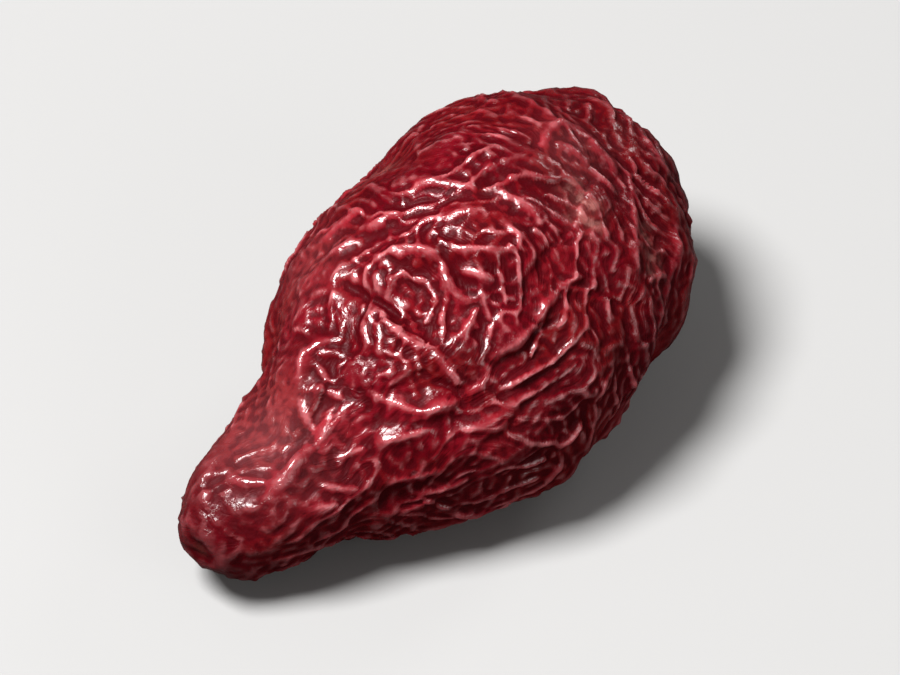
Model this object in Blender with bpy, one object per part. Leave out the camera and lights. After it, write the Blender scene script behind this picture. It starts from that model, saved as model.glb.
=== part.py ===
"""Dried cornelian cherry: one closed wrinkled body, metres, +Z up, blunt end toward +X.

Every measure below is in millimetres and is turned into metres as the mesh is written.
"""

from dataclasses import dataclass

import bmesh
import bpy
import numpy as np

NAME = "dried_cornelian_cherry"
MM = 0.001
GOLDEN_TURN = 2.399963

# Driving dimensions of the smooth fruit under the wrinkles
HALF_LENGTH = 10.5
NECK_RADIUS = 4.2
BULB_RADIUS = 6.1
SWELL_START = -0.79
SWELL_SPAN = 1.28
WAIST_DEPTH = 0.85
WAIST_AT = -0.67
WAIST_SPAN = 0.20
NECK_BLUNTNESS = 0.08
FLATTENING = 0.905
SKIN_AREA = 640.0

# How far the neck bends sideways and down, the station where each bend starts and over how many it runs
NECK_SWING = 2.2
SWING_START = -0.115
SWING_SPAN = 1.1
NECK_DROP = 2.4
DROP_START = 0.15
DROP_SPAN = 1.15

# Flat spot that the fruit rests on: its depth, and the heights under which wrinkles fade and points drop
REST_CUT = 0.15
REST_FADE = 0.7
REST_SNAP = 0.03

# Pressed facet on the bulb, which the wrinkles ring
FACET_STATION = -0.25
FACET_ANGLE = 101.0
FACET_PRESS = 0.32
FACET_SPAN = 2.6

# The creases are a little higher and wider than life, and their height wanders by a share
CREASE_HEIGHT = 1.25
CREASE_BREADTH = 1.35
CREASE_WANDER = 0.25
CREASE_REACH = 5.0

# How wrinkled the skin is: the least share in a quiet patch, and the share by which it fades in and out
LEAST_LIVELY = 0.40
FADING = 0.28

# Scars at the two ends: depth and span of each hollow, and the low lip round the stalk's
STALK_PIT_DEPTH = 0.11
STALK_PIT_SPAN = 0.42
STALK_LIP_HEIGHT = 0.06
STALK_LIP_AT = 0.75
STALK_LIP_SPAN = 0.28
TIP_DIMPLE_DEPTH = 0.15
TIP_DIMPLE_SPAN = 0.42

# On the neck the wrinkles turn to run lengthwise: where that starts, over how many stations, and how fully
NECK_RUN_START = -0.10
NECK_RUN_SPAN = 0.45
NECK_RUN_SHARE = 0.92

# Sum of wave packets at which a crest stands half as high as it can
HALF_STRENGTH = 0.35

# How many points are worked out at once, in blocks of skin this many millimetres wide
POINTS_AT_ONCE = 1024
BLOCK = 2.0

# How finely the skin is worked out, and how many triangles are kept of it
SKIN_CUTS = 96
MOST_TRIANGLES = 11800

# Soft lobes of the section: how many go round it, share of the radius, and where the first is in radians
LOBES = ((2, 0.030, 0.60), (3, 0.029, -0.74))
LOBES_START = -0.75
LOBES_SPAN = 0.9

# Long press down one flank: share of the radius, and its angle and span in radians
FLANK_PRESS = 0.048
FLANK_ANGLE = 2.44
FLANK_SPAN = 0.6

# Each swelling, or dent where it is negative: station, section angle in degrees, share of the radius,
# and its spans in stations and in radians
SWELLINGS = (
    (0.00, 57, -0.047, 0.25, 0.70),
    (-0.43, 15, -0.085, 0.13, 0.55),
    (-0.19, 19, 0.065, 0.13, 0.55),
    (0.26, 32, -0.085, 0.13, 0.55),
    (0.37, -157, -0.085, 0.13, 0.55),
    (-0.10, -150, 0.075, 0.13, 0.55),
)

# Smoother patches of skin: station, section angle in degrees, span in millimetres and strength
CALM_PATCHES = (
    (-0.70, 74, 1.9, 1.0),
    (0.50, 104, 1.3, 0.6),
    (-0.20, 40, 1.5, 0.5),
)


def clear_scene():
    """Removes whatever the new scene starts with."""
    for old in list(bpy.data.objects):
        bpy.data.objects.remove(old, do_unlink=True)


def smooth_step(t):
    """Rises from 0 to 1 as t does, level at both ends."""
    t = np.clip(t, 0.0, 1.0)
    return t * t * (3.0 - 2.0 * t)


def angle_gap(a, b):
    """The turn from b to a, between minus and plus half a circle."""
    return np.angle(np.exp(1j * (a - b)))


def bell(distance, span):
    """Bell curve of height 1."""
    return np.exp(-((distance / span) ** 2))


def outline(tau):
    """Half outline of the turned fruit: distance along the axis and radius, tau 0 at the blunt end."""
    c = np.cos(tau)
    full = NECK_RADIUS + (BULB_RADIUS - NECK_RADIUS) * smooth_step((c - SWELL_START) / SWELL_SPAN)
    full = full - WAIST_DEPTH * bell(c - WAIST_AT, WAIST_SPAN)
    power = 1.0 - NECK_BLUNTNESS * smooth_step((-c - 0.3) / 0.6)
    return HALF_LENGTH * c, full * np.maximum(np.sin(tau), 0.0) ** power


def outline_run(by_area=False):
    """Samples of tau with the share of the outline's length, or of the skin's area, up to each."""
    tau = np.linspace(0.0, np.pi, 2001)
    x, r = outline(tau)
    step = np.hypot(np.diff(x), np.diff(r))
    if by_area:
        step = step * (r[1:] + r[:-1])
    run = np.concatenate([[0.0], np.cumsum(step)])
    return tau, run / run[-1]


def lobes(w, theta):
    """How far the section departs from a circle at station w and angle theta."""
    out = -FLANK_PRESS * bell(angle_gap(theta, FLANK_ANGLE), FLANK_SPAN)
    for count, share, first in LOBES:
        out = out + share * np.cos(count * (theta - first))
    out = 1.0 + out * smooth_step((w - LOBES_START) / LOBES_SPAN)
    for station, degrees, share, along, around in SWELLINGS:
        out = out + share * bell(w - station, along) * bell(angle_gap(theta, np.radians(degrees)), around)
    return out


def skin(tau, theta):
    """Smooth skin at outline angle tau and section angle theta.

    Returns the points, the outward, lengthwise and crosswise unit directions, and the station w,
    which is -1 at the neck's end and 1 at the blunt end.
    """
    step = 1e-3
    x, r = outline(tau)
    x0, r0 = outline(np.clip(tau + step, 0.0, np.pi))
    x1, r1 = outline(np.clip(tau - step, 0.0, np.pi))
    tx, tr = x1 - x0, r1 - r0
    size = np.hypot(tx, tr)
    tx, tr = tx / size, tr / size
    ct, st = np.cos(theta), np.sin(theta)
    w = x / HALF_LENGTH
    out = lobes(w, theta)
    y = r * ct * out + NECK_SWING * smooth_step((SWING_START - w) / SWING_SPAN)
    z = r * st * out * FLATTENING - NECK_DROP * smooth_step((DROP_START - w) / DROP_SPAN)
    points = np.stack([x, y, z], axis=1)
    along = np.stack([tx, tr * ct, tr * st], axis=1)
    outward = np.stack([-tr, tx * ct, tx * st], axis=1)
    across = np.stack([0.0 * ct, -st, ct], axis=1)
    return points, outward, along, across, w


@dataclass(frozen=True)
class Waves:
    """Wave packets spread evenly over the skin: their sum's phase gives crests of one height."""

    wavelength: float
    breadth: float
    length: float
    per_mm2: float
    seed: int
    sway: float
    sway_wave: float
    uneven: float = 0.0

    def packets(self):
        """Centres, unit wave directions, phases and wavelengths of the packets."""
        tau_of, share = outline_run(by_area=True)
        count = int(SKIN_AREA * self.per_mm2)
        rng = np.random.default_rng(self.seed)
        tau = np.interp((np.arange(count) + 0.5) / count, share, tau_of)
        theta = GOLDEN_TURN * np.arange(count) + 0.6 * rng.random(count) / np.sqrt(count)
        centres, outward, along, across, w = skin(tau, theta)
        away = centres - facet_centre()
        away = away - outward * np.sum(away * outward, axis=1, keepdims=True)
        run_along = np.sum(away * along, axis=1)
        run_across = np.sum(away * across, axis=1)
        neck = smooth_step((NECK_RUN_START - w) / NECK_RUN_SPAN)
        run_along = run_along * (1.0 - NECK_RUN_SHARE * neck)
        turn = np.arctan2(run_along, run_across + 1e-6)
        turn = turn + self.sway * slow_noise(centres, self.sway_wave, self.seed + 1)
        wave = across * np.cos(turn)[:, None] + along * np.sin(turn)[:, None]
        phase = rng.uniform(0.0, 2.0 * np.pi, count)
        wider = np.clip(slow_noise(centres, 5.0, self.seed + 2), -1.4, 1.4)
        return centres, wave, phase, self.wavelength * (1.0 + self.uneven * wider)

    def at(self, points):
        """The complex sum of the packets at each point."""
        centres, wave, phase, waves_mm = self.packets()
        reach = 3.0 * self.wavelength * max(self.length, self.breadth)
        total = np.zeros(len(points), np.complex128)
        cell = np.floor(points / BLOCK).astype(int)
        order = np.lexsort((cell[:, 2], cell[:, 1], cell[:, 0]))
        for part in np.array_split(order, max(1, len(points) // POINTS_AT_ONCE)):
            here = points[part]
            near = np.all((centres > here.min(0) - reach) & (centres < here.max(0) + reach), axis=1)
            c, k, f, rate = centres[near], wave[near], phase[near], 2.0 * np.pi / waves_mm[near]
            u = here @ k.T - np.sum(c * k, axis=1)
            gap = np.sum(here * here, axis=1)[:, None] - 2.0 * here @ c.T + np.sum(c * c, axis=1)
            side = np.maximum(gap - u * u, 0.0)
            fade = (u / self.breadth) ** 2 + side / self.length**2
            fade = np.exp(-0.5 * fade / self.wavelength**2)
            angle = u * rate + f
            total[part] = np.sum(fade * np.cos(angle), axis=1) + 1j * np.sum(fade * np.sin(angle), axis=1)
        return total


def slow_noise(points, wavelength, seed, terms=9):
    """Smooth random values about 0, near 1 in spread: a sum of plane waves in random directions."""
    rng = np.random.default_rng(seed)
    total = np.zeros(len(points))
    for _ in range(terms):
        way = rng.normal(size=3)
        way = way / np.linalg.norm(way)
        rate = 2.0 * np.pi / wavelength * rng.uniform(0.6, 1.4)
        total = total + np.cos(points @ way * rate + rng.uniform(0.0, 2.0 * np.pi))
    return total / np.sqrt(terms / 2.0)


@dataclass(frozen=True)
class Wrinkles:
    """One size of wrinkle: its waves, and how high and how sharp its crests stand."""

    waves: Waves
    height: float
    sharpness: float
    average: float

    def raised(self, points):
        """Lift of the crests over their average, fading where the packets cancel."""
        total = self.waves.at(points)
        strength = np.abs(total)
        ridge = ((1.0 + np.cos(np.angle(total))) / 2.0) ** self.sharpness
        return self.height * (ridge * strength / (strength + HALF_STRENGTH) - self.average)


def on_skin(station, degrees):
    """The point of the smooth skin at a station and a section angle."""
    tau = np.arccos(np.clip(np.atleast_1d(station), -1.0, 1.0))
    return skin(tau, np.radians(np.atleast_1d(degrees)))[0]


def facet_centre():
    """Middle of the pressed facet that the bulb's wrinkles ring."""
    return on_skin(FACET_STATION, FACET_ANGLE)


# Broad folds, wrinkles of middle size, and the fine ridges, which are a little wider than life
FOLDS = Wrinkles(Waves(3.3, 0.75, 0.75, 1.2, 3, 0.5, 9.0), height=0.28, sharpness=1.0, average=0.40)
MIDDLE = Wrinkles(Waves(1.75, 0.75, 1.0, 2.2, 11, 0.6, 6.0, 0.15), height=0.10, sharpness=1.6, average=0.35)
RIDGES = Wrinkles(Waves(0.96, 0.75, 1.30, 3.4, 7, 0.50, 3.6, 0.12), height=0.23, sharpness=2.0, average=0.30)


@dataclass(frozen=True)
class Crease:
    """One fold of skin through three spots, each a station and a section angle in degrees."""

    height: float
    width: float
    start: tuple
    middle: tuple
    end: tuple

    def laid(self, points):
        """How far the fold lifts each point, tapering to its two ends, and how near it is."""
        t = np.linspace(0.0, 1.0, 41)
        share = np.stack([(1.0 - t) * (1.0 - 2.0 * t), 4.0 * t * (1.0 - t), t * (2.0 * t - 1.0)], axis=1)
        spots = share @ np.array([self.start, self.middle, self.end])
        line = on_skin(spots[:, 0], spots[:, 1])
        lift, nearness = np.zeros(len(points)), np.zeros(len(points))
        near = np.linalg.norm(points - line[len(line) // 2], axis=1) < CREASE_REACH
        gap = np.linalg.norm(points[near][:, None, :] - line[None, :, :], axis=2)
        nearest = np.argmin(gap, axis=1)
        taper = np.sqrt(np.sin(np.pi * (0.02 + 0.96 * t)))[nearest]
        gap = gap[np.arange(len(gap)), nearest]
        lift[near] = self.height * taper * bell(gap, CREASE_BREADTH * self.width)
        nearness[near] = taper * bell(gap, 2.0 * self.width)
        return lift, nearness


FACET_FOLDS = (
    Crease(0.30, 0.38, (-0.88, 117), (-0.70, 110), (-0.51, 109)),
    Crease(0.23, 0.27, (-0.47, 107), (-0.42, 132), (-0.30, 140)),
    Crease(0.18, 0.25, (-0.30, 140), (-0.24, 141), (-0.20, 135)),
    Crease(0.21, 0.25, (-0.18, 73), (-0.11, 83), (-0.10, 95)),
    Crease(0.21, 0.25, (-0.10, 95), (-0.13, 105), (-0.11, 117)),
    Crease(0.19, 0.21, (-0.12, 117), (-0.18, 119), (-0.26, 118)),
    Crease(0.18, 0.23, (-0.30, 89), (-0.31, 104), (-0.30, 117)),
    Crease(0.17, 0.22, (-0.30, 117), (-0.30, 127), (-0.30, 137)),
    Crease(-0.24, 0.25, (-0.26, 65), (-0.27, 87), (-0.28, 113)),
)
BROW_FOLDS = (
    Crease(0.20, 0.40, (0.00, 20), (0.09, 30), (0.12, 50)),
    Crease(0.17, 0.24, (-0.13, 39), (-0.08, 47), (-0.03, 55)),
    Crease(0.16, 0.23, (-0.20, 50), (-0.15, 56), (-0.11, 62)),
    Crease(0.18, 0.24, (-0.08, 61), (-0.05, 67), (-0.01, 72)),
    Crease(0.19, 0.25, (0.07, 70), (0.12, 80), (0.16, 90)),
    Crease(0.18, 0.25, (0.18, 95), (0.21, 107), (0.18, 115)),
    Crease(0.14, 0.21, (0.00, 82), (0.04, 90), (0.11, 97)),
    Crease(0.17, 0.21, (-0.05, 95), (0.00, 106), (0.07, 113)),
    Crease(0.15, 0.20, (0.07, 114), (0.11, 111), (0.10, 103)),
    Crease(0.14, 0.20, (-0.08, 103), (-0.06, 109), (-0.03, 116)),
)
LADDER_FOLDS = (
    Crease(0.19, 0.23, (-0.40, 80), (-0.47, 71), (-0.56, 78)),
    Crease(0.17, 0.21, (-0.56, 79), (-0.61, 93), (-0.62, 107)),
    Crease(0.15, 0.17, (-0.46, 74), (-0.44, 80), (-0.44, 86)),
    Crease(0.15, 0.17, (-0.48, 79), (-0.50, 86), (-0.51, 94)),
    Crease(0.16, 0.17, (-0.54, 79), (-0.53, 93), (-0.53, 105)),
    Crease(0.17, 0.18, (-0.60, 101), (-0.56, 106), (-0.53, 110)),
    Crease(0.15, 0.24, (-0.82, 68), (-0.84, 98), (-0.76, 116)),
)
CROWN_FOLDS = (
    Crease(0.21, 0.28, (0.41, 95), (0.57, 94), (0.59, 104)),
    Crease(0.21, 0.28, (0.59, 104), (0.58, 112), (0.58, 121)),
    Crease(0.17, 0.22, (0.48, 97), (0.49, 104), (0.50, 112)),
    Crease(0.17, 0.22, (0.50, 112), (0.50, 119), (0.53, 126)),
    Crease(0.19, 0.28, (0.64, 124), (0.50, 138), (0.34, 154)),
    Crease(0.17, 0.28, (0.84, 112), (0.80, 126), (0.80, 143)),
    Crease(0.15, 0.22, (0.38, 158), (0.46, 162), (0.51, 168)),
    Crease(0.17, 0.30, (0.67, 150), (0.57, 166), (0.34, 175)),
)
FLANK_FOLDS = (
    Crease(0.20, 0.25, (0.19, 138), (0.06, 136), (-0.02, 139)),
    Crease(0.20, 0.25, (-0.02, 139), (-0.11, 138), (-0.20, 135)),
    Crease(0.16, 0.23, (-0.37, 151), (-0.30, 156), (-0.20, 157)),
    Crease(0.16, 0.22, (-0.65, 124), (-0.61, 128), (-0.57, 131)),
    Crease(0.16, 0.23, (-0.55, 132), (-0.49, 138), (-0.42, 143)),
    Crease(0.15, 0.23, (-0.72, 136), (-0.67, 147), (-0.61, 151)),
    Crease(0.15, 0.23, (-0.79, 144), (-0.75, 150), (-0.70, 154)),
    Crease(0.16, 0.23, (-0.57, 160), (-0.51, 162), (-0.45, 166)),
    Crease(0.16, 0.25, (-0.53, 179), (-0.46, 179), (-0.38, 180)),
    Crease(0.15, 0.25, (-0.60, 182), (-0.54, 185), (-0.48, 185)),
    Crease(0.16, 0.27, (-0.44, 198), (-0.34, 210), (-0.24, 214)),
)
CREASES = FACET_FOLDS + BROW_FOLDS + LADDER_FOLDS + CROWN_FOLDS + FLANK_FOLDS


def creased(points):
    """Lift of all the creases together, and how near the nearest of them is."""
    raised, beside = np.zeros(len(points)), np.zeros(len(points))
    for crease in CREASES:
        lift, nearness = crease.laid(points)
        raised = np.where(np.abs(lift) > np.abs(raised), lift, raised)
        beside = np.maximum(beside, nearness)
    wander = 1.0 + CREASE_WANDER * np.clip(slow_noise(points, 1.3, 41), -1.3, 1.3)
    return CREASE_HEIGHT * raised * wander, beside


def away_from(points, station, degrees):
    """Distance of each point from a spot of the smooth skin."""
    return np.linalg.norm(points - on_skin(station, degrees), axis=1)


def liveliness(points):
    """How wrinkled the skin is, from place to place, and how much the calm patches smooth it."""
    patchy = smooth_step((slow_noise(points, 5.0, 31) + 1.4) / 1.9)
    fading = 1.0 - FADING + FADING * np.clip(slow_noise(points, 2.0, 37), -1.4, 1.4)
    calm = np.zeros(len(points))
    for station, degrees, span, strength in CALM_PATCHES:
        calm = np.maximum(calm, strength * bell(away_from(points, station, degrees), span))
    return (LEAST_LIVELY + (1.0 - LEAST_LIVELY) * patchy) * (1.0 - 0.85 * calm) * fading, calm


def scars(points):
    """The stalk's scar at the neck's end and the small dimple at the blunt end."""
    stalk, tip = away_from(points, -1.0, 0.0), away_from(points, 1.0, 0.0)
    lip = STALK_LIP_HEIGHT * bell(stalk - STALK_LIP_AT, STALK_LIP_SPAN)
    pit = STALK_PIT_DEPTH * bell(stalk, STALK_PIT_SPAN)
    return lip - pit - TIP_DIMPLE_DEPTH * bell(tip, TIP_DIMPLE_SPAN)


def relief(points):
    """Height of the skin over the smooth fruit: folds, wrinkles, creases, the facet and the scars."""
    lively, calm = liveliness(points)
    raised, beside = creased(points)
    out = FOLDS.raised(points) + MIDDLE.raised(points) * (1.0 - 0.7 * calm)
    out = out + RIDGES.raised(points) * lively * (1.0 - 0.65 * beside)
    end = bell(away_from(points, -1.0, 0.0), 1.5)
    pressed = bell(away_from(points, FACET_STATION, FACET_ANGLE), FACET_SPAN)
    return out * (1.0 - 0.6 * end) + raised - FACET_PRESS * pressed + scars(points)


def ball(cuts):
    """A cube cut into even squares: its mesh, and each corner's unit direction on a ball."""
    bm = bmesh.new()
    bmesh.ops.create_cube(bm, size=2.0)
    bmesh.ops.subdivide_edges(bm, edges=bm.edges, cuts=cuts - 1, use_grid_fill=True)
    mesh = bpy.data.meshes.new("ball")
    bm.to_mesh(mesh)
    bm.free()
    flat = np.empty(len(mesh.vertices) * 3)
    mesh.vertices.foreach_get("co", flat)
    cube = flat.reshape(-1, 3)
    even = np.tan(np.pi / 4.0 * np.clip(cube, -1.0, 1.0))
    return mesh, even / np.linalg.norm(even, axis=1, keepdims=True)


def fruit_points(directions):
    """Wrinkled skin in millimetres for each direction from the middle."""
    psi = np.arccos(np.clip(directions[:, 0], -1.0, 1.0))
    theta = np.arctan2(directions[:, 2], directions[:, 1])
    tau_of, share = outline_run()
    tau = np.interp(psi / np.pi, share, tau_of)
    points, outward, _, _, _ = skin(tau, theta)
    floor = points[:, 2].min() + REST_CUT
    off_floor = smooth_step((points[:, 2] - floor) / REST_FADE)
    points = points + outward * (relief(points) * off_floor)[:, None]
    points[:, 2] = np.maximum(points[:, 2] - floor, 0.0)
    return points


def skin_material():
    """Dark red dried skin with a soft gloss."""
    material = bpy.data.materials.new("dried red skin")
    material.use_nodes = True
    shader = material.node_tree.nodes["Principled BSDF"]
    shader.inputs["Base Color"].default_value = (0.19, 0.014, 0.018, 1.0)
    shader.inputs["Roughness"].default_value = 0.34
    shader.inputs["Metallic"].default_value = 0.0
    return material


def thinned(fruit):
    """The fruit's mesh with its triangles merged where the skin is flattest."""
    fewer = fruit.modifiers.new("fewer triangles", "DECIMATE")
    fewer.ratio = MOST_TRIANGLES / len(fruit.data.polygons)
    fewer.use_collapse_triangulate = True
    graph = bpy.context.evaluated_depsgraph_get()
    mesh = bpy.data.meshes.new_from_object(fruit.evaluated_get(graph))
    fruit.modifiers.clear()
    flat = np.empty(len(mesh.vertices) * 3)
    mesh.vertices.foreach_get("co", flat)
    flat[2::3] = np.where(flat[2::3] < REST_SNAP * MM, 0.0, flat[2::3])
    mesh.vertices.foreach_set("co", flat)
    mesh.update()
    return mesh


def build():
    """Makes the one fruit and puts it in a collection of its own name."""
    clear_scene()
    mesh, directions = ball(SKIN_CUTS)
    points = fruit_points(directions)
    low, high = points.min(axis=0), points.max(axis=0)
    points[:, :2] -= (low[:2] + high[:2]) / 2.0
    mesh.vertices.foreach_set("co", (points * MM).ravel())
    bm = bmesh.new()
    bm.from_mesh(mesh)
    bmesh.ops.triangulate(bm, faces=bm.faces, quad_method="SHORT_EDGE")
    bm.to_mesh(mesh)
    bm.free()
    fruit = bpy.data.objects.new(NAME, mesh)
    collection = bpy.data.collections.new(NAME)
    bpy.context.scene.collection.children.link(collection)
    collection.objects.link(fruit)
    fruit.data = thinned(fruit)
    fruit.data.name = NAME
    fruit.data.materials.append(skin_material())
    fruit.data.shade_smooth()
    return fruit


if __name__ == "__main__":
    build()
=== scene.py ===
"""Dried cornelian cherry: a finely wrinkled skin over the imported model, with its studio.

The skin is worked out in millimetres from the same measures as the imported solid, and is turned into
metres as its mesh is written. The fruit lies along X with its narrow stalk end toward -X.
"""

import logging
from dataclasses import dataclass
from enum import Enum

import bpy
import numpy as np
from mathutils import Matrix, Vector


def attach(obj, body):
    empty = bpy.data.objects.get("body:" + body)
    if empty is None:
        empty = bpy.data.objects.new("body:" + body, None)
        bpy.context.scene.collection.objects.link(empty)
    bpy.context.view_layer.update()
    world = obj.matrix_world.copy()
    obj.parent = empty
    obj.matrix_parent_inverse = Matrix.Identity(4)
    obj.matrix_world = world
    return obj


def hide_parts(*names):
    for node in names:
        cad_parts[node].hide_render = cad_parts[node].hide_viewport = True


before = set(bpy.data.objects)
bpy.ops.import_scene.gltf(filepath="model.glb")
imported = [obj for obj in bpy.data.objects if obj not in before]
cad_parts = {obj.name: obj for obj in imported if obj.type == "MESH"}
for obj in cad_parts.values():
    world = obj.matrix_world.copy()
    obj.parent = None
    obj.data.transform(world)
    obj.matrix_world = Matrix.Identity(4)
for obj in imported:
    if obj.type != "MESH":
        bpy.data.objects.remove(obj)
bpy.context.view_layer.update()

LOG = logging.getLogger("dried_cherry")
NODE = "dried_cornelian_cherry"
MM = 0.001
GOLDEN_TURN = 2.399963

Array = np.ndarray

# Rates of the slow noise's waves, as shares of their middle rate
LEAST_RATE = 0.6
MOST_RATE = 1.4

# Strength at which a crest has half its height, and the rounding of a pinched top
HALF_STRENGTH = 0.35
TOP_ROUNDING = 0.24

# Points along the outline, points summed at once, and the side in millimetres of their cells
OUTLINE_POINTS = 2001
POINTS_AT_ONCE = 1024
CELL = 2.0

# Reach of a wave packet in its own lengths, and how far its place on the spiral is shaken
PACKET_REACH = 3.0
PACKET_JITTER = 0.6

# Station past which the waves turn crosswise on the neck, over what span, and by how much
NECK_START = 0.10
NECK_SPAN = 0.45
NECK_TURN = 0.92

# Points along a crease, its reach, its tapered ends, and its narrow and rounded top
CREASE_POINTS = 41
CREASE_REACH = 5.0
CREASE_END = 0.02
CREASE_PINCH = 1.4
CREASE_ROUNDING = 0.42

# Seeds of the noises along X, Y and Z that make the wrinkles stray
STRAY_SEEDS = (51, 52, 53)

# Decimals to which the grids' corners are compared where they meet
SEAM_DECIMALS = 6

# Rounds of averaging and depth in millimetres from crest to hollow, of narrow and wide hollows
HOLLOW = (4, 0.032)
DIP = (40, 0.24)


def smooth_step(t: Array) -> Array:
    """Rise from 0 to 1 as t does, level at both ends: 3t squared less 2t cubed."""
    t = np.clip(t, 0.0, 1.0)
    return t * t * (3.0 - 2.0 * t)


def angle_gap(a: Array, b: float) -> Array:
    """Turn from b to a in radians, between minus and plus half a circle."""
    return np.angle(np.exp(1j * (a - b)))


def bell(distance: Array, span: float) -> Array:
    """Bell curve of height 1: e to the minus of distance over span, squared."""
    return np.exp(-((distance / span) ** 2))


def slow_noise(points: Array, wavelength: float, seed: int, terms: int = 9) -> Array:
    """Smooth random values about 0: a sum of plane waves in random directions.

    Args:
        points: Places to read, in millimetres.
        wavelength: Middle wavelength of the waves.
        seed: Number the random directions start from.
        terms: How many waves are added.

    Returns:
        One value for each point, with a spread near 1.
    """
    rng = np.random.default_rng(seed)
    total = np.zeros(len(points))
    for _ in range(terms):
        way = rng.normal(size=3)
        way = way / np.linalg.norm(way)
        rate = 2.0 * np.pi / wavelength * rng.uniform(LEAST_RATE, MOST_RATE)
        total = total + np.cos(points @ way * rate + rng.uniform(0.0, 2.0 * np.pi))
    return total / np.sqrt(terms / 2.0)


def full_height(waves: Array) -> Array:
    """Share of a crest's height that the waves' strength gives it, half at the half strength."""
    strength = np.abs(waves)
    return strength / (strength + HALF_STRENGTH)


@dataclass(frozen=True)
class Drift:
    """A slow change over the skin: a middle value, and how far noise moves it either way."""

    middle: float
    amount: float
    wavelength: float
    seed: int
    most: float = 1.4

    def over(self, places: Array) -> Array:
        """Middle value plus the amount times slow noise, which is held within its most."""
        noise = slow_noise(places, self.wavelength, self.seed)
        return self.middle + self.amount * np.clip(noise, -self.most, self.most)


@dataclass
class SkinPoints:
    """Places on the smooth skin, with the directions that the wrinkles follow there."""

    places: Array
    outward: Array
    along: Array
    across: Array
    station: Array


# Number of lobes round the section, their share of the radius and their turn in radians
LOBES = (
    (2, 0.030, -0.6),
    (3, 0.029, 0.74),
)

# Station, section angle in degrees and share of the radius of each swelling or dent
SWELLINGS = (
    (-0.43, 15, -0.085),
    (-0.19, 19, 0.065),
    (0.26, 32, -0.085),
    (0.37, -157, -0.085),
    (-0.10, -150, 0.075),
)

# Length of each swelling in stations, and its arc in radians
SWELLING_LENGTH = 0.13
SWELLING_ARC = 0.55


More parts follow.
